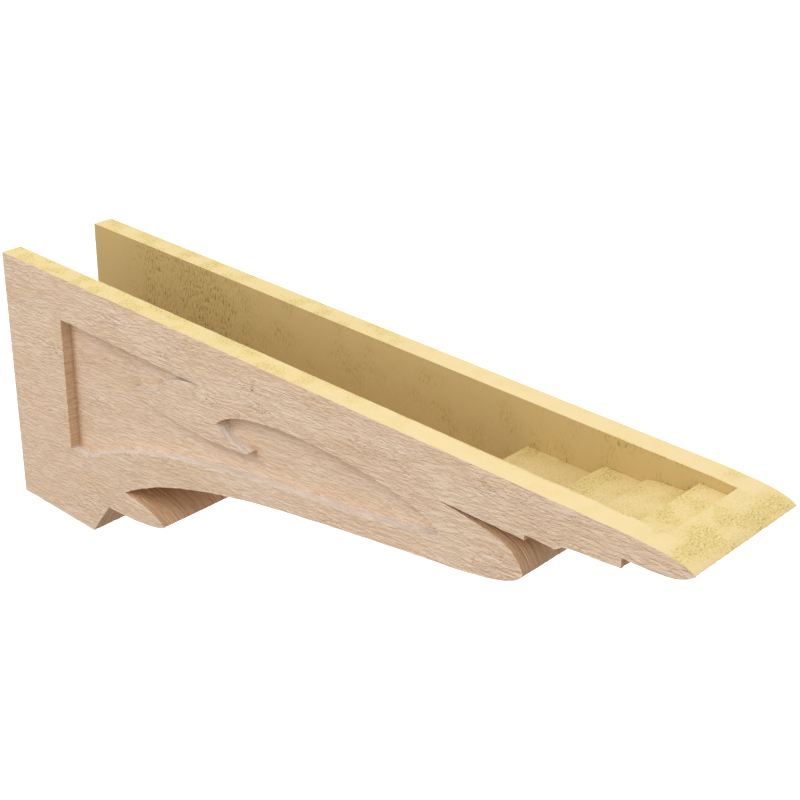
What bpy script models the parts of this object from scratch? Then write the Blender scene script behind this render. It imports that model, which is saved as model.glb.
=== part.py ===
# Hollow moulded corbel with its open side up: wall end at X = 0, pointed tip at +X.
# The origin is on the wall end, at the middle of the channel's floor.
# Units are metres. Heights in the profile are drops below the rim, the flat open side.
from math import hypot, radians

import bmesh
import bpy

# Overall size
length = 0.9144  # wall end to tip
depth = 0.3048  # rim to the underside of the wall-end block
width = 0.1524

# Hollow
wall = 0.0254  # each of the two sides
web = 0.0127  # the channel's floor, which follows the underside
thin_web = 0.005  # the same floor over the slot behind the second drip
tip_solid = 0.0434  # solid length of the pointed end, at the rim
end_slope = 0.007  # how far the channel's end leans out

# Wall-end block and the notch after it, placed from the wall end and from the underside
block_length = 0.132
notch_run = 0.032
notch_rise = 0.0438

# First drip, a flat nose with a pointed slot behind it, placed from the notch
first_slot_run = 0.033
first_slot_rise = 0.033
first_drip_length = 0.065  # from the slot's point to the nose
first_drip_rise = 0.0155

# Second drip, at the end of the long sweep, placed from the tip
second_drip_back = 0.1664
second_drip_drop = 0.084
second_slot_length = 0.0946
second_slot_drop = 0.0508
sweep_end_length = 0.065  # from the sweep's end to the nose
sweep_end_drop = 0.111

# Steps under the thin end, placed from the tip
step_rise = 0.0055
bead_back = 0.135
bead_run = 0.007
bead_drop = 0.0405
last_step_back = 0.0684
last_step_drop = 0.034
last_step_rise = 0.010

# Pointed end
tip_drop = 0.0108  # where its top and under curves meet
tip_top_run = 0.0665
tip_under_run = 0.0444

# Sunk panel in each side, with a leaf that reaches back into it
panel_depth = 0.0127
panel_margin = 0.101  # from the wall end
panel_rail = 0.0508  # from the rim
panel_sill = 0.0948  # from the underside of the wall-end block
panel_foot = 0.027  # level piece of the lower edge, at the wall end
leaf_rise = 0.005  # height of the leaf's back end over the panel
leaf_back = 0.225  # share of the length where the leaf is lowest
leaf_root = 0.365  # share of the length where it joins the face
leaf_cut_depth = 0.75  # share of the height over the sweep, between the leaf and the lower band

curve_steps = 12
cut_margin = 0.02  # how far the cutters run past the faces that they cut
edge_clearance = 0.0004  # keeps one cut off the edge of another
smooth_below = radians(25)
bare_slope = 0.3  # least upward part of the normal where the top is bare foam

# Places that follow from the sizes
rim_height = depth - web / 2
notch_x = block_length + notch_run
notch_drop = depth - notch_rise
first_slot_x = notch_x + first_slot_run
first_slot_drop = notch_drop - first_slot_rise
second_drip_x = length - second_drip_back
second_slot_x = second_drip_x - second_slot_length
sweep_end_x = second_drip_x - sweep_end_length
step_drop = second_slot_drop - step_rise
bead_x = length - bead_back
last_step_x = length - last_step_back
tip_under_drop = last_step_drop - last_step_rise
channel_end = length - tip_solid


def bezier(start, first_pull, second_pull, end, steps=curve_steps):
    # One curve as points, without its start
    points = []
    for i in range(1, steps + 1):
        t = i / steps
        s = 1 - t
        shares = (s ** 3, 3 * s * s * t, 3 * s * t * t, t ** 3)
        corners = (start, first_pull, second_pull, end)
        points.append(tuple(sum(a * c[k] for a, c in zip(shares, corners)) for k in (0, 1)))
    return points


def arc_between(start, end, first_share, second_share, steps=curve_steps):
    # A curve whose two pulls are shares of the run from start to end
    run = (end[0] - start[0], end[1] - start[1])
    pulls = [(start[0] + run[0] * s[0], start[1] + run[1] * s[1]) for s in (first_share, second_share)]
    return bezier(start, pulls[0], pulls[1], end, steps)


def sweep_curve():
    # The long hollow curve from the first slot to the second drip
    start = (first_slot_x, first_slot_drop)
    end = (sweep_end_x, sweep_end_drop)
    return [start] + arc_between(start, end, (0.215, 0.561), (0.578, 0.741), 2 * curve_steps)


def sweep_drop(x):
    # How far the sweep lies below the rim at x, held level past its two ends
    curve = sweep_curve()
    for (ax, ad), (bx, bd) in zip(curve, curve[1:]):
        if x <= bx:
            return ad + (bd - ad) * max(0, x - ax) / (bx - ax)
    return sweep_end_drop


def cove_curve():
    # The shallow hollow between the bead and the last step
    start = (bead_x + bead_run, bead_drop)
    end = (last_step_x, last_step_drop)
    return [start] + arc_between(start, end, (0.18, 0.68), (0.50, 0.29), curve_steps // 2)


def side_outline():
    # The whole profile, from the rim at the wall end and round by the underside
    notch = (notch_x, notch_drop)
    first_slot = (first_slot_x, first_slot_drop)
    first_nose = (first_slot_x + first_drip_length, notch_drop - first_drip_rise)
    second_nose = (second_drip_x, second_drip_drop)
    second_slot = (second_slot_x, second_slot_drop)
    tip = (length, tip_drop)
    points = [(0, 0), (0, depth), (block_length, depth), notch]
    points += arc_between(notch, first_nose, (0.42, 0.03), (0.93, 0.42))
    points += arc_between(first_nose, first_slot, (0.18, 0.54), (0.40, 0.77))
    points += sweep_curve()[1:]
    points += arc_between(points[-1], second_nose, (0.43, 0.18), (0.985, 0.50))
    points += arc_between(second_nose, second_slot, (0.09, 0.64), (0.19, 0.80))
    points += [(second_drip_x, second_slot_drop), (second_drip_x, step_drop), (bead_x, step_drop)]
    points += cove_curve()
    points += [(last_step_x, tip_under_drop), (length - tip_under_run, tip_under_drop)]
    points += arc_between(points[-1], tip, (0.45, 0), (0.86, 0.38))
    points += arc_between(tip, (length - tip_top_run, 0), (0.19, 0.97), (0.68, 0.87))
    return points


def inset(path, thicknesses):
    # The path moved up into the solid, each stretch by its own thickness
    lines = []
    for (ax, ad), (bx, bd), thick in zip(path, path[1:], thicknesses):
        run = hypot(bx - ax, bd - ad)
        direction = ((bx - ax) / run, (bd - ad) / run)
        lines.append(((ax + direction[1] * thick, ad - direction[0] * thick), direction))
    moved = [lines[0][0]]
    for (a, u), (b, v) in zip(lines, lines[1:]):
        cross = u[0] * v[1] - u[1] * v[0]
        if abs(cross) < 1e-6:
            moved.append(b)
            continue
        along = ((b[0] - a[0]) * v[1] - (b[1] - a[1]) * v[0]) / cross
        moved.append((a[0] + u[0] * along, a[1] + u[1] * along))
    return moved


def without_returns(path):
    # Where a step is shorter than the web is thick, its moved corner would run back: left out
    kept = [path[0]]
    for point in path[1:]:
        if point[0] > kept[-1][0] - edge_clearance:
            kept.append(point)
    return kept


def channel_outline():
    # The hollow: the underside without its slots, moved up by the web, and open at the wall end
    path = [(-cut_margin, depth), (block_length, depth)]
    path += [(notch_x, notch_drop), (first_slot_x, notch_drop)]
    path += [p for p in sweep_curve() if p[0] < second_slot_x - web]
    path.append((second_slot_x, sweep_drop(second_slot_x)))
    thick = [web] * (len(path) - 1)
    path += [(second_slot_x, second_slot_drop), (second_drip_x, second_slot_drop)]
    path.append((second_drip_x, step_drop))
    thick += [thin_web, thin_web, web]
    tail = [(bead_x, step_drop)] + cove_curve()
    tail += [(last_step_x, tip_under_drop), (length, tip_under_drop)]
    path += tail
    thick += [web] * len(tail)
    floor = without_returns(inset(path, thick))
    end_drop = floor[-1][1]
    end = [(channel_end - end_slope, end_drop), (channel_end, 0), (channel_end, -cut_margin)]
    return floor + end + [(-cut_margin, -cut_margin)]


def carved(along, down):
    # A point of the carving, as shares of the length and of the height over the sweep
    x = length * along
    return (x, sweep_drop(x) * down)


def panel_outline():
    # The sunk panel's edge: level rail, leaf, hook, long pointed end, lower band and foot
    foot_drop = depth - panel_sill
    slit = (length * 0.377, panel_rail)
    leaf_shoulder = carved(0.280, 0.403)
    leaf_notch = carved(0.278, 0.432)
    leaf_point = carved(0.236, 0.435)
    leaf_under = carved(0.245, 0.498)
    hook_tip = carved(0.437, 0.651)
    hook_root = carved(0.389, 0.493)
    far_end = carved(0.711, 0.726)
    band_end = carved(0.700, 0.777)
    foot = (panel_margin + panel_foot, foot_drop)
    points = [(panel_margin, panel_rail), slit]
    points += arc_between(slit, leaf_shoulder, (0.16, 0), (0.75, 0.05))
    points += [leaf_notch, leaf_point]
    points += arc_between(leaf_point, leaf_under, (-0.1, 0.5), (0.2, 0.9), 4)
    points += bezier(leaf_under, carved(0.300, 0.572), carved(0.400, 0.669), hook_tip)
    points += bezier(hook_tip, carved(0.412, 0.614), carved(0.389, 0.557), hook_root)
    points += bezier(hook_root, carved(0.450, 0.225), carved(0.712, 0.527), far_end, 2 * curve_steps)
    points += arc_between(far_end, band_end, (0, 0.6), (0.4, 0.9), 4)
    points += bezier(band_end, carved(0.504, 0.898), carved(0.306, 0.674), foot, 2 * curve_steps)
    return points + [(panel_margin, foot_drop)]


def leaf_outline():
    # Seen from above: what is pared off the leaf, nothing at its root and most of it at its back
    back = length * leaf_back
    root = length * leaf_root
    deepest = panel_depth - leaf_rise
    points = []
    for i in range(curve_steps + 1):
        t = i / curve_steps
        points.append((back + (root - back) * t, deepest * (1 - t * t * (3 - 2 * t))))
    points += [(root, -cut_margin), (back - cut_margin, -cut_margin), (back - cut_margin, deepest)]
    return points


def prism(name, outline, place, shift):
    # A closed solid from an outline: place turns a point into XYZ, shift is the way across
    form = bmesh.new()
    face = form.faces.new([form.verts.new(place(a, b)) for a, b in outline])
    across = bmesh.ops.extrude_face_region(form, geom=[face])
    moved = [v for v in across["geom"] if isinstance(v, bmesh.types.BMVert)]
    bmesh.ops.translate(form, verts=moved, vec=shift)
    bmesh.ops.recalc_face_normals(form, faces=form.faces)
    mesh = bpy.data.meshes.new(name)
    form.to_mesh(mesh)
    form.free()
    thing = bpy.data.objects.new(name, mesh)
    bpy.context.scene.collection.objects.link(thing)
    return thing


def side_prism(name, outline, y_start, y_end):
    return prism(name, outline, lambda x, drop: (x, y_start, rim_height - drop), (0, y_end - y_start, 0))


def leaf_cutter(name, side):
    # side is -1 for the near side and +1 for the far one
    face_y = side * width / 2
    top = rim_height - panel_rail - edge_clearance
    bottom = rim_height - leaf_cut_depth * sweep_drop(length * leaf_root)

    def place(x, into):
        return (x, face_y - side * into, top)

    return prism(name, leaf_outline(), place, (0, 0, bottom - top))


def cut(thing, cutters):
    for cutter in cutters:
        cutter.hide_render = True
        cutter.display_type = "WIRE"
        boolean = thing.modifiers.new(cutter.name, "BOOLEAN")
        boolean.operation = "DIFFERENCE"
        boolean.solver = "EXACT"
        boolean.material_mode = "TRANSFER"
        boolean.object = cutter


def keep_result(thing, cutters):
    # Makes the cut shape the object's own mesh, and shades only its curves smooth
    evaluated = thing.evaluated_get(bpy.context.evaluated_depsgraph_get())
    mesh = bpy.data.meshes.new_from_object(evaluated)
    thing.modifiers.clear()
    thing.data = mesh
    mesh.name = thing.name
    mesh.shade_smooth()
    mesh.set_sharp_from_angle(angle=smooth_below)
    for cutter in cutters:
        bpy.data.objects.remove(cutter)


def foam_material(name, colour):
    material = bpy.data.materials.new(name)
    material.use_nodes = True
    shader = material.node_tree.nodes["Principled BSDF"]
    shader.inputs["Base Color"].default_value = (*colour, 1)
    shader.inputs["Roughness"].default_value = 0.85
    shader.inputs["Metallic"].default_value = 0
    return material


def corbel():
    # Tan primer on the moulded faces, bare yellow foam on the rim, the tip's top and the channel
    primed = foam_material("primed_foam", (0.62, 0.45, 0.31))
    bare = foam_material("bare_foam", (0.80, 0.66, 0.32))
    half = width / 2
    inner = half - wall
    body = side_prism("corbel", side_outline(), -half, half)
    channel = side_prism("channel_cutter", channel_outline(), -inner, inner)
    carving = []
    for side, label in ((-1, "near"), (1, "far")):
        start = side * (half + cut_margin)
        end = side * (half - panel_depth)
        carving.append(side_prism("panel_cutter_" + label, panel_outline(), start, end))
        carving.append(leaf_cutter("leaf_cutter_" + label, side))
    for thing in [body] + carving:
        thing.data.materials.append(primed)
    body.data.materials.append(bare)
    channel.data.materials.append(bare)
    for face in body.data.polygons:
        if face.normal.z > bare_slope and face.center.z > rim_height - tip_drop:
            face.material_index = 1
    cut(body, [channel] + carving)
    keep_result(body, [channel] + carving)


for old in list(bpy.data.objects):
    bpy.data.objects.remove(old)
corbel()
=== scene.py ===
# Hollow faux-cedar corbel, moulded in one piece from rigid polyurethane foam.
# The moulded faces are primed tan and carry a sawn cedar grain; the rim, the tip's top, the wall end
# and the channel are bare yellow foam. Metres; X runs from the wall end to the tip, Z up to the rim.
import math

import bmesh
import bpy
from mathutils import Matrix, Vector, noise
from mathutils.bvhtree import BVHTree


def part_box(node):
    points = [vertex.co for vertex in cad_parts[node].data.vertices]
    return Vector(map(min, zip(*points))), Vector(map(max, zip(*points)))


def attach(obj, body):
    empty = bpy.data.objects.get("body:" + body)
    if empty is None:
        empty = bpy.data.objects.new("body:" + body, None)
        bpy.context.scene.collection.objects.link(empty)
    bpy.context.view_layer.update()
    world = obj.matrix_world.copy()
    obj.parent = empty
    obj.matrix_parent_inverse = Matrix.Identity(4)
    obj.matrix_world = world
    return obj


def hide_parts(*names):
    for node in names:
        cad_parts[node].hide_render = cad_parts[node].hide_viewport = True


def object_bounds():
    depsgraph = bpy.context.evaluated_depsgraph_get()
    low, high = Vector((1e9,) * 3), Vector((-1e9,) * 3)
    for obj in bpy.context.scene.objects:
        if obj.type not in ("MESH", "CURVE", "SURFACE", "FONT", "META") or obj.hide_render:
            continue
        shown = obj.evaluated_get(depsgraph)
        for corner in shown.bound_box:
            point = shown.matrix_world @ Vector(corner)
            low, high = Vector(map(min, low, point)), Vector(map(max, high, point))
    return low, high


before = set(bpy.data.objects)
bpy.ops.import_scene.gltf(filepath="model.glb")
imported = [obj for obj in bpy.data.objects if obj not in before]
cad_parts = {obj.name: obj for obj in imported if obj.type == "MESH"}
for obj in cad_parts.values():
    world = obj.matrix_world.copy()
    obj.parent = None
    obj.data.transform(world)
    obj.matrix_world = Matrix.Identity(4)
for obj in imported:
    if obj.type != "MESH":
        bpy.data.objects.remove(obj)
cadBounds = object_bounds()
mm = 0.001


def toLinear(hexColour):
    # An sRGB hex colour as linear RGBA
    parts = [int(hexColour[i:i + 2], 16) / 255 for i in (1, 3, 5)]
    return tuple(c / 12.92 if c <= 0.04045 else ((c + 0.055) / 1.055) ** 2.4 for c in parts) + (1,)


def addNode(tree, kind, values=None, links=None, **settings):
    # A node with its settings, its sockets' values and what feeds its sockets
    node = tree.nodes.new(kind)
    for name, setting in settings.items():
        setattr(node, name, setting)
    for socket, value in (values or {}).items():
        node.inputs[socket].default_value = value
    for socket, source in (links or {}).items():
        tree.links.new(source, node.inputs[socket])
    return node


def ease(low, high, value):
    # 0 at low, 1 at high, smooth between and level beyond; low may be the larger one
    t = min(1, max(0, (value - low) / (high - low)))
    return t * t * (3 - 2 * t)


# The corbel's mesh: the solid's own form, cut into a fine grid and given its relief

form = {
    "halfChannel": 50.8 * mm,  # the channel's walls stand this far from the middle plane
    "panelDepth": 12.7 * mm,
    "tallWall": 1.6 * mm,  # panel walls higher than this give the panel's floor beside them painted shade and calmer relief
    "shadingWall": 0.3,  # unless their normals rise more than this
    "facing": 0.9,  # a normal with this much of an axis faces along it
    "sameFlat": math.radians(0.15),  # triangles of one flat are joined below this
    "arris": math.radians(24),  # edges turning more than this stay crisp
    "slab": 40 * mm,  # the grid is cut in slabs of this length, which is quicker
    "snap": 0.01 * mm,  # a cut this close to a point goes through it
    "seam": 0.002 * mm,  # the slabs' edges meet within this
    "near": 0.1 * mm,  # slack when the solid's faces are sorted into kinds
    "floorSlack": 0.5 * mm,  # the panel's floor is what lies within this of its full depth
    "deepest": 1.6 * mm,  # no point moves further into the foam
    "cells": {  # cells to a slab's length, to the width and to the height, None where it isn't cut
        "nearSide": (12, None, 226),
        "farSide": (8, None, 150),
        "panelWall": (10, 48, 100),
        "under": (4, 54, 32),
        "bareTop": (10, 40, 50),
        "channelWall": (5, None, 38),
        "wallEnd": (None, 24, 48),
    },
    "tipSkin": 1.3 * mm,  # the skin reaches this far round the tip
    "drag": 2 * mm,  # how far an arris draws the faces beside it along when it moves
    "dragRings": 3,  # and over how many rings of points
}

grain = {
    "base": 0.55 * mm,  # the mean surface lies this deep, so that ridges stay inside the solid
    "rise": 0.08,  # the grain climbs this much towards the tip
    "streak": (30 * mm, 3.6 * mm),  # length and width of the long ridges
    "streakDepth": 0.20 * mm,
    "fibre": (8 * mm, 2.8 * mm),  # shorter ridges between them
    "fibreDepth": 0.33 * mm,
    "torn": (7.5 * mm, 3.4 * mm),  # lumps where the grain is torn out
    "tornDepth": 1.2 * mm,
    "tornPatch": (80 * mm, 26 * mm),
    "patchLevels": (0.12, 0.5),  # noise between which a torn patch comes in
    "patchTorn": 0.7,  # how torn it gets
    "tornSpots": [  # X, drop below the rim, half length
        (0.701, 0.0135, 22 * mm), (0.407, 0.0240, 24 * mm), (0.417, 0.0458, 20 * mm),
        (0.339, 0.0608, 22 * mm), (0.557, 0.0335, 26 * mm), (0.856, 0.0208, 12 * mm),
        (0.798, 0.0082, 12 * mm), (0.723, 0.0800, 16 * mm), (0.191, 0.0200, 26 * mm),
        (0.631, 0.1210, 20 * mm), (0.275, 0.0340, 16 * mm),
    ],
    "spotFlatness": 2.4,  # how much longer than high such a spot is
    "spotEdge": (1.15, 0.45),  # it comes in between these shares of its half length
    "spotRagged": 0.35,  # and its edge strays this much
    "wander": (110 * mm, 36 * mm),  # how the grain lines drift
    "wanderBy": 1.6 * mm,
    "sway": (120 * mm, 40 * mm),  # slow hollows left by the master's planks
    "swayDepth": 0.20 * mm,
    "knots": [(0.757, 0.0218, 6.5 * mm), (0.150, 0.2560, 8 * mm)],  # X, drop, radius
    "knotLength": 2,  # how much longer than high a knot is
    "knotDraw": 0.7,  # how far the grain lines bend round it
    "knotRings": (1.4, 0.8),  # they turn into rings between these radii
    "knotTorn": 0.8,
    "calmEdge": 8 * mm,  # the grain is shallower this close to the rim and the wall end
    "calmShare": 0.3,  # how much of it is left there
    "panelShare": 0.7,  # the panel's floor is smoother
    "wallShade": 9 * mm,  # and smoother still, and given painted shade, this close to its walls
    "shelterFrom": 0.1,  # fully so within this share of it
    "shelterCalm": 0.8,
    "sheenLevels": (0.05, 0.5),  # panel walls whose normals rise between these get a painted sheen
    "crossCut": (30 * mm, 5 * mm),  # saw marks across the panel's upright walls
    "crossCutDepth": 0.7 * mm,
    "crossCutShade": 0.6,  # how much of the undersides' painted shade those walls get
    "underLine": (45 * mm, 4.6 * mm),  # ridges round the profile, on the undersides
    "underLineDepth": 0.32 * mm,
    "underFibre": (16 * mm, 3.4 * mm),  # shorter ones between them
    "underDrift": (60 * mm, 40 * mm),  # how they drift
    "underDriftBy": 2.5 * mm,
    "seeds": {"streak": 3, "fibre": 7, "tornPatch": 11, "torn": 17, "sway": 23, "crossCut": 3},
    "sideSeed": 20,  # keeps the two sides' grain different
}


def noiseAt(x, y, z):
    return noise.noise(Vector((x, y, z)))


def ridgeAt(x, y, z):
    # Narrow ridges between broad hollows, at most 0.5 high
    return 0.5 - 2 * abs(noiseAt(x, y, z))


def acrossGrain(x, drop, seed):
    # Place across the grain's lines, which wander and close round the knots; and how near a knot is
    g = grain
    climb = g["rise"] * x
    across, nearest = drop + climb, 0
    for knotX, knotDrop, radius in g["knots"]:
        dx = (x - knotX) / (g["knotLength"] * radius)
        dz = (drop - knotDrop) / radius
        near = math.exp(-(dx * dx + dz * dz) / 2)
        across -= (drop - knotDrop) * g["knotDraw"] * near
        ring = math.hypot(dx, dz)
        across += ease(*g["knotRings"], ring) * (knotDrop + climb + ring * radius - across)
        nearest = max(nearest, near)
    length, width = g["wander"]
    return across + g["wanderBy"] * noiseAt(x / length, seed, drop / width), nearest


def sideRelief(x, drop, seed):
    # Height of the sawn grain about its mean, and how torn it is, at a place on a side
    g = grain
    across, knotty = acrossGrain(x, drop, seed)
    levels = {}
    for name, shape, place in (
            ("streak", ridgeAt, across), ("fibre", noiseAt, across), ("torn", noiseAt, across),
            ("tornPatch", noiseAt, drop), ("sway", noiseAt, drop)):
        length, width = g[name]
        levels[name] = shape(x / length, seed + g["seeds"][name], place / width)
    torn = g["patchTorn"] * ease(*g["patchLevels"], levels["tornPatch"])
    for spotX, spotDrop, reach in g["tornSpots"]:
        away = math.hypot((x - spotX) / reach, (drop - spotDrop) * g["spotFlatness"] / reach)
        torn = max(torn, ease(*g["spotEdge"], away + g["spotRagged"] * levels["tornPatch"]))
    torn = max(torn, g["knotTorn"] * knotty)
    sawn = g["streakDepth"] * levels["streak"] + g["fibreDepth"] * levels["fibre"]
    return sawn + g["tornDepth"] * torn * levels["torn"] + g["swayDepth"] * levels["sway"], torn


def underRelief(x, y, z):
    # Grain lines that run round the profile, thin across the width
    g = grain
    length, width = g["underDrift"]
    drifted = y + g["underDriftBy"] * noiseAt(x / length, y / width, z / length)
    length, width = g["underLine"]
    line = ridgeAt(x / length, drifted / width, z / length)
    length, width = g["underFibre"]
    fibre = noiseAt(x / length, drifted / width, z / length)
    return g["underLineDepth"] * line + g["fibreDepth"] * fibre


foam = {
    "base": 0.25 * mm,  # the mean surface lies this deep
    "even": 9 * mm,
    "evenDepth": 0.13 * mm,
    "patch": 20 * mm,
    "patchDepth": 0.16 * mm,  # porous patches lie lower
    "patchSeed": 5,
    "zones": {  # porosity everywhere, how much patches add, and the noise between which they come in
        "channelWall": (0.06, 0.35, 0, 0.4),
        "rim": (0.3, 0.5, -0.1, 0.35),
        "channelFloor": (0.3, 0.4, 0.05, 0.45),
        "tip": (0.12, 0.4, 0.05, 0.45),
    },
    "smoothEnd": (0.05, 0.12),  # the channel's walls are smooth before this X and open after it
    "pittedPlace": 0.165,  # X of their most pitted stretch
    "pittedReach": 0.085,
    "pitted": (0.8, 0.6),  # its porosity, and how much patches change it
    "rimEnd": 0.848,  # X where the rim's strips meet the tip
    "rimSmooth": (0.34, 0.64),  # the rim gets smoother between these X
    "rimSmoothBy": 0.8,
    "crumbled": [(0.657, 9 * mm), (0.750, 15 * mm), (0.824, 17 * mm), (0.900, 11 * mm)],  # X, half length
    "crumbledBy": (0.45, 0.9),  # what crumbling adds, and how much patches change it
    "shadedDepths": (15 * mm, 50 * mm),  # the channel's floor gets painted shade, darker with depth, between these depths
    "floorShade": 0.55,  # up to this much
    "pitStretch": 3.0,  # the channel walls' pits are this many times taller than wide
}


def nearness(x, place, reach):
    return math.exp(-((x - place) / reach) ** 2)


def porosityAt(x, y, z, kind):
    # How open the cells are, 0 to 1
    f = foam
    patch = noiseAt(x / f["patch"] + f["patchSeed"], y / f["patch"], z / f["patch"])
    zone = kind
    if kind != "channelWall":
        overWall = abs(y) > form["halfChannel"]
        zone = "channelFloor" if not overWall else "rim" if x < f["rimEnd"] else "tip"
    even, patchy, start, full = f["zones"][zone]
    porous = even + patchy * ease(start, full, patch)
    if zone == "channelWall":
        pitted, varied = f["pitted"]
        stretch = nearness(x, f["pittedPlace"], f["pittedReach"])
        return min(1, stretch * (pitted + varied * patch) + ease(*f["smoothEnd"], x) * porous)
    if zone == "rim":
        return porous * (1 - f["rimSmoothBy"] * ease(*f["rimSmooth"], x))
    added, varied = f["crumbledBy"]
    crumbled = max(nearness(x, place, reach) for place, reach in f["crumbled"])
    return min(1, porous + crumbled * (added + varied * patch))


def foamRelief(x, y, z, kind):
    # Height of the bare foam about its mean, and how porous it is
    f = foam
    porous = porosityAt(x, y, z, kind)
    even = noiseAt(x / f["even"], y / f["even"], z / f["even"])
    return f["evenDepth"] * even - f["patchDepth"] * porous, porous


kinds = list(form["cells"])
sideKinds = {"nearSide", "farSide"}
skinKinds = sideKinds | {"panelWall", "under"}


def kindOfFace(face, solidTree, half):
    middle = face.calc_center_median()
    normal = face.normal
    if normal.x < -form["facing"] and middle.x < mm:
        return "wallEnd"
    if abs(normal.y) > form["facing"]:
        if abs(middle.y) < form["halfChannel"] + mm:
            return "channelWall"
        return "nearSide" if middle.y < 0 else "farSide"
    reach = [v.co.y for v in face.verts]
    onOneSide = min(reach) * max(reach) > 0
    if onOneSide and min(abs(y) for y in reach) > half - form["panelDepth"] - form["near"]:
        return "panelWall"
    start = middle + normal * form["near"]
    blocked = solidTree.ray_cast(start, Vector((0, 0, 1)))[0]
    return "under" if blocked else "bareTop"


def geometryOf(faces):
    edges = {e for f in faces for e in f.edges}
    verts = {v for f in faces for v in f.verts}
    return list(faces) + list(edges) + list(verts)


def cutAcross(bm, kind, axis, start, step):
    # Cuts the faces of one kind by planes across one axis, a step apart and counted from start
    faces = [f for f in bm.faces if f.material_index == kinds.index(kind)]
    if not faces:
        return
    places = [(v.co[axis] - start) / step for f in faces for v in f.verts]
    normal = Vector((0, 0, 0))
    normal[axis] = 1
    geometry = geometryOf(faces)
    for i in range(math.floor(min(places)) + 1, math.ceil(max(places))):
        cut = bmesh.ops.bisect_plane(
            bm, geom=geometry, dist=form["snap"], plane_co=normal * (start + i * step), plane_no=normal)
        geometry = cut["geom"]


def slabOf(bm, start, end):
    # The shell between two planes across X
    slab = bm.copy()
    for place, inner in ((start, True), (end, False)):
        bmesh.ops.bisect_plane(
            slab, geom=slab.verts[:] + slab.edges[:] + slab.faces[:], dist=form["snap"],
            plane_co=(place, 0, 0), plane_no=(1, 0, 0), clear_inner=inner, clear_outer=not inner)
    return slab


def cutGrid(bm, low, high):
    # Cuts every kind of face to its own grid, slab by slab, and joins the slabs again
    whole = bmesh.new()
    length = form["slab"]
    starts = (0, low.y, low.z)
    spans = (length, high.y - low.y, high.z - low.z)
    for i in range(math.ceil(high.x / length)):
        slab = slabOf(bm, i * length if i else -length, (i + 1) * length)  # the first starts off the end
        for kind, cells in form["cells"].items():
            for axis, count in enumerate(cells):
                if count:
                    cutAcross(slab, kind, axis, starts[axis], spans[axis] / count)
        mesh = bpy.data.meshes.new("slab")
        slab.to_mesh(mesh)
        slab.free()
        whole.from_mesh(mesh)
        bpy.data.meshes.remove(mesh)
    bmesh.ops.remove_doubles(whole, verts=whole.verts, dist=form["seam"])
    print("corbel: grid of", len(whole.faces), "faces", flush=True)
    return whole


def tallWallsOf(bm):
    # The panel's taller walls that face down or along, beside which its floor gets painted shade and calmer
    # relief
    walls = bmesh.new()
    for face in bm.faces:
        reach = [abs(v.co.y) for v in face.verts]
        tall = max(reach) - min(reach) > form["tallWall"]
        if kinds[face.material_index] == "panelWall" and tall and face.normal.z < form["shadingWall"]:
            walls.faces.new([walls.verts.new(v.co) for v in face.verts])
    bmesh.ops.triangulate(walls, faces=walls.faces)
    tree = BVHTree.FromBMesh(walls)
    walls.free()
    return tree


def reliefAt(place, kind, normal, marks, wallTree, high):
    # Height of the relief about its mean at a point on one kind of face, or None where there is none;
    # and the marks that the colours follow
    g = grain
    x, y, z = place
    drop = high.z - z
    if kind in sideKinds:
        height, marks["rough"] = sideRelief(x, drop, math.copysign(g["sideSeed"], y))
        height *= g["calmShare"] + (1 - g["calmShare"]) * ease(0, g["calmEdge"], min(drop, x))
        if abs(y) < high.y - form["panelDepth"] + form["floorSlack"]:
            # painted shade beside the panel's taller walls, where the relief is also calmer
            away = wallTree.find_nearest(place)[3] / g["wallShade"]
            marks["wallShade"] = 1 - ease(g["shelterFrom"], 1, away)
            height *= g["panelShare"] * (1 - g["shelterCalm"] * marks["wallShade"])
        return height
    if kind == "under":
        return underRelief(x, y, z)
    if kind == "panelWall":
        if abs(normal.x) < form["facing"]:
            # painted sheen on the panel's walls that face up
            marks["paintedSheen"] = ease(*g["sheenLevels"], normal.z)
            return None
        length, width = g["crossCut"]
        return g["crossCutDepth"] * noiseAt(y / length, g["seeds"]["crossCut"], z / width)
    height, marks["porous"] = foamRelief(x, y, z, kind)
    return height


def dragAlong(bm, moves, ways):
    # Where an arris moves, the points beside it follow within their own faces, so that no face folds
    bm.verts.index_update()
    ring = [v for v in bm.verts if ways[v.index] is None]
    done = set(ring)
    for step in range(form["dragRings"]):
        following = {e.other_vert(v): None for v in ring for e in v.link_edges if e.other_vert(v) not in done}
        drags = []
        for vert in following:
            drag, share = Vector((0, 0, 0)), 0
            for edge in vert.link_edges:
                other = edge.other_vert(vert)
                if other in done:
                    length = edge.calc_length() + form["snap"]
                    drag += moves[other.index] * math.exp(-length / form["drag"]) / length
                    share += 1 / length
            way = ways[vert.index]
            drags.append((drag - way * drag.dot(way)) / share)
        for vert, drag in zip(following, drags):
            moves[vert.index] += drag
        ring = list(following)
        done.update(ring)


def giveRelief(bm, wallTree, high):
    # Moves each point into the foam by the relief of every face that meets there
    names = ("relief", "wallShade", "rough", "paintedSheen", "porous")
    layers = {name: bm.verts.layers.float.new(name) for name in names}
    moves, ways = [], []
    for vert in bm.verts:
        normals = {}
        for face in vert.link_faces:
            kind = kinds[face.material_index]
            normals[kind] = normals.get(kind, Vector((0, 0, 0))) + face.normal
        move = Vector((0, 0, 0))
        marks = dict.fromkeys(names, 0)
        for kind, way in normals.items():
            if way.length < 0.01:  # faces back to back
                continue
            way.normalize()
            height = reliefAt(vert.co, kind, way, marks, wallTree, high)
            if height is None:
                continue
            marks["relief"] = height / mm
            base = grain["base"] if kind in skinKinds else foam["base"]
            if kind in sideKinds:
                way = Vector((0, math.copysign(1, vert.co.y), 0))
            move -= way * min(form["deepest"], max(0, base - height))
        for name, layer in layers.items():
            vert[layer] = marks[name]
        moves.append(move)
        ways.append(way.normalized() if len(normals) == 1 else None)
    dragAlong(bm, moves, ways)
    for vert, move in zip(bm.verts, moves):
        vert.co += move


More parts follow.
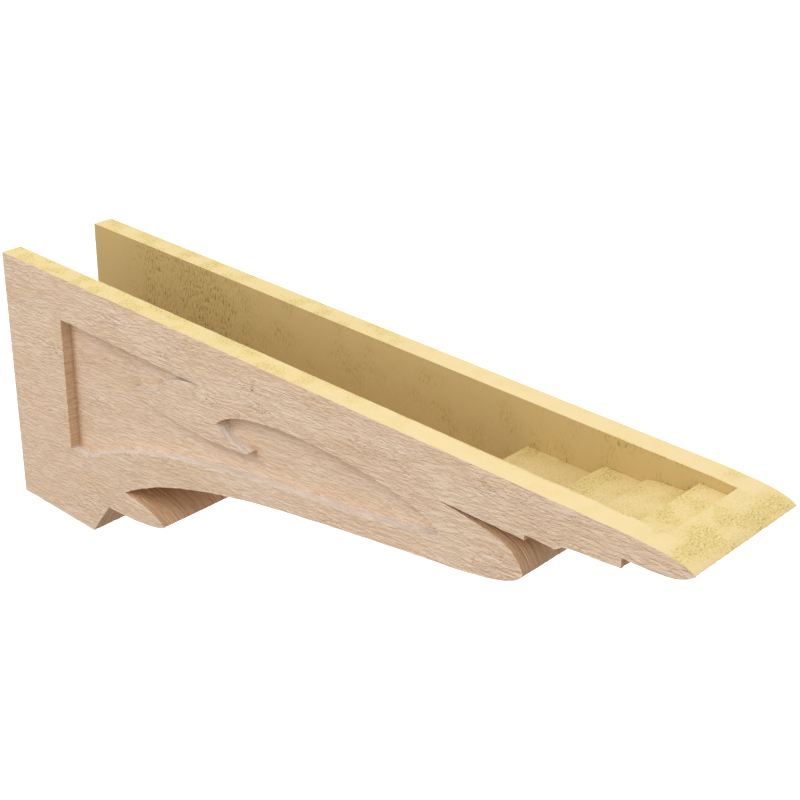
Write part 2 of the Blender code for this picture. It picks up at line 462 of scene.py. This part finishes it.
def paintedShadeOf(kind, middle, normal, rim):
    # How much painted shade a face gets: undersides, saw-cut panel walls and the channel's walls and deep
    # floor
    if kind in ("under", "channelWall"):
        return 1
    if kind == "panelWall" and abs(normal.x) > form["facing"]:
        return grain["crossCutShade"]
    if kind == "bareTop" and abs(middle.y) < form["halfChannel"]:
        return foam["floorShade"] * ease(*foam["shadedDepths"], rim - middle.z)
    return 0


def layGrainMap(bm, rim):
    # UV map in metres: U along the grain or the foam's pits, V across; and each face's painted shade
    layer = bm.loops.layers.uv.new("grain")
    paintedShade = bm.loops.layers.float.new("paintedShade")
    for face in bm.faces:
        kind = kinds[face.material_index]
        normal = face.normal
        brown = paintedShadeOf(kind, face.calc_center_median(), normal, rim)
        for loop in face.loops:
            x, y, z = loop.vert.co
            if kind in sideKinds:
                place = (x, z - grain["rise"] * x)
            elif kind == "panelWall":
                place = (y, z) if abs(normal.x) > abs(normal.z) else (x, y)
            elif kind == "under":
                place = (x + z, y)
            elif kind == "channelWall":
                place = (z / foam["pitStretch"], x)
            elif kind == "wallEnd":
                place = (z, y)
            else:
                place = (y, x)
            loop[layer].uv = place
            loop[paintedShade] = brown


def makeCorbel():
    low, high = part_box("corbel")
    solidForm = bmesh.new()
    solidForm.from_mesh(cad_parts["corbel"].data)
    bmesh.ops.remove_doubles(solidForm, verts=solidForm.verts, dist=form["snap"])
    solidForm.normal_update()
    solidTree = BVHTree.FromBMesh(solidForm)
    for face in solidForm.faces:
        face.material_index = kinds.index(kindOfFace(face, solidTree, high.y))
    bmesh.ops.dissolve_limit(
        solidForm, angle_limit=form["sameFlat"], use_dissolve_boundaries=False,
        verts=solidForm.verts, edges=solidForm.edges, delimit={"MATERIAL"})
    bmesh.ops.bisect_plane(
        solidForm, geom=solidForm.verts[:] + solidForm.edges[:] + solidForm.faces[:], dist=form["snap"],
        plane_co=(high.x - form["tipSkin"], 0, 0), plane_no=(1, 0, 0))
    print("corbel: joined flats,", len(solidForm.faces), "faces", flush=True)
    wallTree = tallWallsOf(solidForm)
    bm = cutGrid(solidForm, low, high)
    solidForm.free()
    bm.normal_update()
    for edge in bm.edges:
        edge.smooth = edge.calc_face_angle() < form["arris"]
    giveRelief(bm, wallTree, high)
    bmesh.ops.triangulate(bm, faces=[f for f in bm.faces if len(f.verts) > 4])
    bm.normal_update()
    layGrainMap(bm, high.z)
    for face in bm.faces:
        atTip = face.calc_center_median().x > high.x - form["tipSkin"]
        face.material_index = 0 if kinds[face.material_index] in skinKinds or atTip else 1
        face.smooth = True
    mesh = bpy.data.meshes.new("fauxCedarCorbel")
    bm.to_mesh(mesh)
    bm.free()
    thing = bpy.data.objects.new("fauxCedarCorbel", mesh)
    bpy.context.scene.collection.objects.link(thing)
    triangles = sum(len(p.vertices) - 2 for p in mesh.polygons)
    print("corbel: relief on", len(mesh.vertices), "points,", triangles, "triangles", flush=True)
    return thing


# Primed skin: matt tan primer sprayed on moulded polyurethane, so the grain shows as relief with
# a soft sheen at grazing angles; painted shade darkens the grooves, creases, lump hollows and undersides

primedSkin = {
    "tan": "#E8C9A9",
    "pale": "#EDD3B8",
    # painted shade in the creases; also the grain lines round the noses
    "brown": "#B88B62",
    # painted shade in the grooves of the relief
    "groove": "#BE9268",
    "paintedWallShade": "#C69C74",  # painted shade below and beside the panel's taller walls
    "paintedSheen": "#E5DCD3",  # painted sheen on the panel's lower walls, which face up
    # painted shade on the undersides and on the panel walls that face along X
    "under": "#D6AE86",
    # painted shade in the hollows of the lumps where the grain is torn
    "nick": "#7A5436",
    "noises": {  # length, width, detail and distortion; the finest are drawn coarser than real
        "crease": (32 * mm, 4.4 * mm, 1, 0.4),  # long thin creases between the fibres
        "shortCrease": (7 * mm, 3.0 * mm, 1, 0.4),
        "lump": (3.6 * mm, 2.6 * mm, 1, 0),
        "line": (60 * mm, 2.6 * mm, 1, 0),  # lines round the noses
        "broad": (120 * mm, 30 * mm, 2, 0),
    },
    "noiseRoughness": 0.6,
    "shares": {  # what each share follows, where that starts and fills it, and how much it then is
        "pale": ("broad", 0.35, 0.65, 1),
        # painted shade on the undersides
        "under": ("paintedShade", 0, 1, 0.9),
        # painted sheen on the panel's up-facing walls
        "paintedSheen": ("paintedSheen", 0.05, 0.8, 0.8),
        # painted shade beside the panel's taller walls
        "paintedWallShade": ("wallShade", 0, 1, 0.55),
        # painted shade in the grooves of the relief
        "groove": ("relief", 0, -0.7, 0.45),
        # painted shade in the creases
        "creased": ("crease", 0.1, 0, 0.25),
        "lineDepth": ("line", 0.5, 0.36, 1),
        "lined": ("paintedShade", 0, 1, 0.8),
        # painted shade in the hollows of the torn lumps
        "nickDepth": ("lump", 0.36, 0.25, 1),
        "nicked": ("rough", -0.05, 1, 0.9),
        "creaseHeight": ("crease", 0, 0.1, 0.5),
        "shortHeight": ("shortCrease", 0, 0.12, 0.35),
    },
    "layers": [  # share and colour, from the bottom up
        # painted shade on the undersides, beside the taller walls, in the grooves, creases and lump hollows;
        # painted sheen on the up-facing walls
        ("under", "under"), ("paintedSheen", "paintedSheen"), ("paintedWallShade", "paintedWallShade"), ("groove", "groove"),
        ("creased", "brown"), ("lined", "brown"), ("nicked", "nick"),
    ],
    "bumpHeight": 0.7 * mm,
    "roughness": 0.58,
}


def primedSkinMaterial():
    m = primedSkin
    material = bpy.data.materials.new("primed polyurethane skin")
    material.use_nodes = True
    tree = material.node_tree
    shader = tree.nodes["Principled BSDF"]
    grainMap = addNode(tree, "ShaderNodeUVMap", uv_map="grain")
    values, shares = {}, {}
    for name in ("relief", "wallShade", "rough", "paintedShade", "paintedSheen"):
        values[name] = addNode(tree, "ShaderNodeAttribute", attribute_name=name).outputs["Fac"]
    for name, (length, width, detail, distortion) in m["noises"].items():
        spread = addNode(tree, "ShaderNodeMapping", {"Scale": (1 / length, 1 / width, 1)},
                         {"Vector": grainMap.outputs["UV"]})
        texture = addNode(tree, "ShaderNodeTexNoise",
                          {"Scale": 1, "Detail": detail, "Roughness": m["noiseRoughness"],
                           "Distortion": distortion},
                          {"Vector": spread.outputs["Vector"]})
        values[name] = texture.outputs["Fac"]
    for name in ("crease", "shortCrease"):
        # The noise's middle level runs in thin lines, so creases follow the distance from it
        level = addNode(tree, "ShaderNodeMath", {1: 0.5}, {0: values[name]}, operation="SUBTRACT")
        away = addNode(tree, "ShaderNodeMath", None, {0: level.outputs["Value"]}, operation="ABSOLUTE")
        values[name] = away.outputs["Value"]
    for name, (source, start, full, most) in m["shares"].items():
        share = addNode(tree, "ShaderNodeMapRange", {"From Min": start, "From Max": full, "To Max": most},
                        {"Value": values[source]})
        shares[name] = share.outputs["Result"]
    for name, other in (("lined", "lineDepth"), ("nicked", "nickDepth")):
        both = addNode(tree, "ShaderNodeMath", None, {0: shares[name], 1: shares[other]},
                       operation="MULTIPLY")
        shares[name] = both.outputs["Value"]
    base = addNode(tree, "ShaderNodeMix", {"A": toLinear(m["tan"]), "B": toLinear(m["pale"])},
                   {"Factor": shares["pale"]}, data_type="RGBA")
    colour = base.outputs["Result"]
    for share, name in m["layers"]:
        layer = addNode(tree, "ShaderNodeMix", {"B": toLinear(m[name])},
                        {"Factor": shares[share], "A": colour}, data_type="RGBA")
        colour = layer.outputs["Result"]
    creases = addNode(tree, "ShaderNodeMath", None, {0: shares["creaseHeight"], 1: shares["shortHeight"]},
                      operation="ADD")
    steeper = addNode(tree, "ShaderNodeMath", {1: 1}, {0: values["rough"]}, operation="ADD")
    lumps = addNode(tree, "ShaderNodeMath", None, {0: values["lump"], 1: steeper.outputs["Value"]},
                    operation="MULTIPLY")
    height = addNode(tree, "ShaderNodeMath", None,
                     {0: creases.outputs["Value"], 1: lumps.outputs["Value"]}, operation="ADD")
    bump = addNode(tree, "ShaderNodeBump", {"Strength": 1, "Distance": m["bumpHeight"]},
                   {"Height": height.outputs["Value"]})
    tree.links.new(colour, shader.inputs["Base Color"])
    tree.links.new(bump.outputs["Normal"], shader.inputs["Normal"])
    shader.inputs["Roughness"].default_value = m["roughness"]
    print("corbel: primed skin", flush=True)
    return material


# Bare foam: the cut, unskinned face of rigid polyurethane, pale yellow and dull, with its cells
# open in patches that look darker and more olive; painted shade browns the channel's walls and, more with
# depth, its floor

bareFoam = {
    "cream": "#EBD4A2",
    "yellow": "#E8D190",
    "olive": "#D8BE6C",
    "crumb": "#F0DF92",
    # painted shade inside the channel
    "channelShade": "#C4A86C",
    "pit": "#A88A42",
    # pits inside the channel, darkened by painted shade
    "deepPit": "#7E6230",
    "noises": {  # size and detail
        "cells": (2.1 * mm, 2),  # groups of open cells; single cells are too fine to show
        "clump": (5.5 * mm, 2),
        "cloud": (14 * mm, 3),
    },
    "noiseRoughness": 0.65,
    "shares": {  # what each share follows, where that starts and fills it, and how much it then is
        "yellow": ("porous", 0, 0.6, 1),
        "clouded": ("cloud", 0.45, 0.7, 0.6),
        "clump": ("clump", 0.4, 0.6, 0.5),
        "clumped": ("porous", 0.05, 0.9, 1),
        "crumb": ("cells", 0.46, 0.34, 0.7),
        "crumbed": ("porous", 0, 1, 1),
        # painted shade inside the channel
        "channelShade": ("paintedShade", 0, 1, 0.8),
        "open": ("cells", 0.53, 0.66, 1),
        "opened": ("porous", 0.05, 0.8, 1),
        # pits take the plain pit colour outside the painted shade and the darker one inside it
        "light": ("paintedShade", 1, 0, 0.75),
        "dark": ("paintedShade", 0, 1, 0.85),
        "pitHeight": ("porous", -0.2, 1, 1),
    },
    "products": [  # a share that is two others multiplied
        ("olive", "clump", "clumped"), ("crumb", "crumb", "crumbed"), ("open", "open", "opened"),
        ("light", "open", "light"), ("dark", "open", "dark"),
    ],
    "layers": [  # share and colour, from the bottom up
        # painted shade inside the channel, with darker pits there
        ("clouded", "yellow"), ("olive", "olive"), ("crumb", "crumb"), ("channelShade", "channelShade"),
        ("light", "pit"), ("dark", "deepPit"),
    ],
    "bumpHeight": 1.6 * mm,
    "roughness": 0.75,
}


def bareFoamMaterial():
    m = bareFoam
    material = bpy.data.materials.new("bare polyurethane foam")
    material.use_nodes = True
    tree = material.node_tree
    shader = tree.nodes["Principled BSDF"]
    pitMap = addNode(tree, "ShaderNodeUVMap", uv_map="grain")
    values, shares = {}, {}
    for name in ("porous", "paintedShade"):
        values[name] = addNode(tree, "ShaderNodeAttribute", attribute_name=name).outputs["Fac"]
    for name, (size, detail) in m["noises"].items():
        texture = addNode(tree, "ShaderNodeTexNoise",
                          {"Scale": 1 / size, "Detail": detail, "Roughness": m["noiseRoughness"]},
                          {"Vector": pitMap.outputs["UV"]})
        values[name] = texture.outputs["Fac"]
    for name, (source, start, full, most) in m["shares"].items():
        share = addNode(tree, "ShaderNodeMapRange", {"From Min": start, "From Max": full, "To Max": most},
                        {"Value": values[source]})
        shares[name] = share.outputs["Result"]
    for name, first, second in m["products"]:
        both = addNode(tree, "ShaderNodeMath", None, {0: shares[first], 1: shares[second]},
                       operation="MULTIPLY")
        shares[name] = both.outputs["Value"]
    base = addNode(tree, "ShaderNodeMix", {"A": toLinear(m["cream"]), "B": toLinear(m["yellow"])},
                   {"Factor": shares["yellow"]}, data_type="RGBA")
    colour = base.outputs["Result"]
    for share, name in m["layers"]:
        layer = addNode(tree, "ShaderNodeMix", {"B": toLinear(m[name])},
                        {"Factor": shares[share], "A": colour}, data_type="RGBA")
        colour = layer.outputs["Result"]
    depth = addNode(tree, "ShaderNodeMath", None, {0: values["cells"], 1: shares["pitHeight"]},
                    operation="MULTIPLY")
    bump = addNode(tree, "ShaderNodeBump", {"Strength": 1, "Distance": m["bumpHeight"]},
                   {"Height": depth.outputs["Value"]}, invert=True)
    tree.links.new(colour, shader.inputs["Base Color"])
    tree.links.new(bump.outputs["Normal"], shader.inputs["Normal"])
    shader.inputs["Roughness"].default_value = m["roughness"]
    print("corbel: bare foam", flush=True)
    return material


# Setting: white floor well below the part, soft light all round and a broad key from the front and above

setting = {
    "floorDrop": 1.1,
    "floorSize": 60,
    "floorColour": "#F3F3F3",
    "floorGlow": 0.6,
    "white": "#FFFFFF",
    "zenithStrength": 1.0,
    "horizonStrength": 0.91,
    "underStrength": 0.38,
    "underFrom": -0.3,  # the light fades from the horizon down to this height of the sky
    "keyPower": 28,
    "keySize": 1.3,
    "keyPlace": (-0.2, -2.1, 2.5),
    "pictureWidth": 800,
    "lensPixels": 1613.19,  # focal length, for a picture that wide
    "sensorWidth": 36,
    "cameraPlace": (1.452135, -1.004110, 0.967425),
    "cameraYaw": math.radians(42.46946),
    "cameraPitch": math.radians(26.88065),
    "cameraRoll": math.radians(1.05829),
}


def layFloor(centre):
    s = setting
    bm = bmesh.new()
    bmesh.ops.create_grid(bm, x_segments=1, y_segments=1, size=s["floorSize"] / 2)
    bmesh.ops.translate(bm, verts=bm.verts, vec=(centre.x, centre.y, cadBounds[0].z - s["floorDrop"]))
    mesh = bpy.data.meshes.new("paleFloor")
    bm.to_mesh(mesh)
    bm.free()
    floor = bpy.data.objects.new("paleFloor", mesh)
    bpy.context.scene.collection.objects.link(floor)
    paint = bpy.data.materials.new("white studio floor")
    paint.use_nodes = True
    shader = paint.node_tree.nodes["Principled BSDF"]
    shader.inputs["Base Color"].default_value = toLinear(s["floorColour"])
    shader.inputs["Emission Color"].default_value = toLinear(s["white"])
    shader.inputs["Emission Strength"].default_value = s["floorGlow"]
    mesh.materials.append(paint)
    floor.visible_diffuse = False  # the sky's lower half lights the undersides instead
    floor.visible_glossy = False


def hangLights(centre):
    s = setting
    world = bpy.data.worlds.new("softTent")
    bpy.context.scene.world = world
    world.use_nodes = True
    tree = world.node_tree
    way = addNode(tree, "ShaderNodeTexCoord")
    parts = addNode(tree, "ShaderNodeSeparateXYZ", None, {"Vector": way.outputs["Generated"]})
    below = addNode(tree, "ShaderNodeMapRange",
                    {"From Min": s["underFrom"], "From Max": 0,
                     "To Min": s["underStrength"], "To Max": s["horizonStrength"]},
                    {"Value": parts.outputs["Z"]})
    above = addNode(tree, "ShaderNodeMapRange",
                    {"From Max": 1, "To Max": s["zenithStrength"] - s["horizonStrength"]},
                    {"Value": parts.outputs["Z"]})
    sky = addNode(tree, "ShaderNodeMath", None,
                  {0: below.outputs["Result"], 1: above.outputs["Result"]}, operation="ADD")
    tree.links.new(sky.outputs["Value"], tree.nodes["Background"].inputs["Strength"])
    tree.nodes["Background"].inputs["Color"].default_value = toLinear(s["white"])

    key = bpy.data.lights.new("key", "AREA")
    key.energy = s["keyPower"]
    key.size = s["keySize"]
    lamp = bpy.data.objects.new("key", key)
    bpy.context.scene.collection.objects.link(lamp)
    lamp.location = s["keyPlace"]
    lamp.rotation_euler = (centre - Vector(s["keyPlace"])).to_track_quat("-Z", "Y").to_euler()


def placeCamera():
    s = setting
    camera = bpy.data.cameras.new("camera")
    camera.sensor_width = s["sensorWidth"]
    camera.lens = s["sensorWidth"] * s["lensPixels"] / s["pictureWidth"]
    viewer = bpy.data.objects.new("camera", camera)
    bpy.context.scene.collection.objects.link(viewer)
    viewer.location = s["cameraPlace"]
    yaw, pitch, roll = s["cameraYaw"], s["cameraPitch"], s["cameraRoll"]
    forward = Vector((-math.sin(yaw) * math.cos(pitch), math.cos(yaw) * math.cos(pitch), -math.sin(pitch)))
    right = Vector((math.cos(yaw), math.sin(yaw), 0))
    up = right.cross(forward)
    tiltedRight = math.cos(roll) * right + math.sin(roll) * up
    tiltedUp = -math.sin(roll) * right + math.cos(roll) * up
    turn = Matrix((tiltedRight, tiltedUp, -forward)).transposed()
    viewer.rotation_euler = turn.to_euler()
    bpy.context.scene.camera = viewer


def makeSetting():
    bpy.context.scene.view_settings.view_transform = "Standard"
    centre = (cadBounds[0] + cadBounds[1]) / 2
    layFloor(centre)
    hangLights(centre)
    placeCamera()
    print("setting: floor, lights and camera", flush=True)


corbel = makeCorbel()
corbel.data.materials.append(primedSkinMaterial())
corbel.data.materials.append(bareFoamMaterial())
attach(corbel, "root")
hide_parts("corbel")
makeSetting()
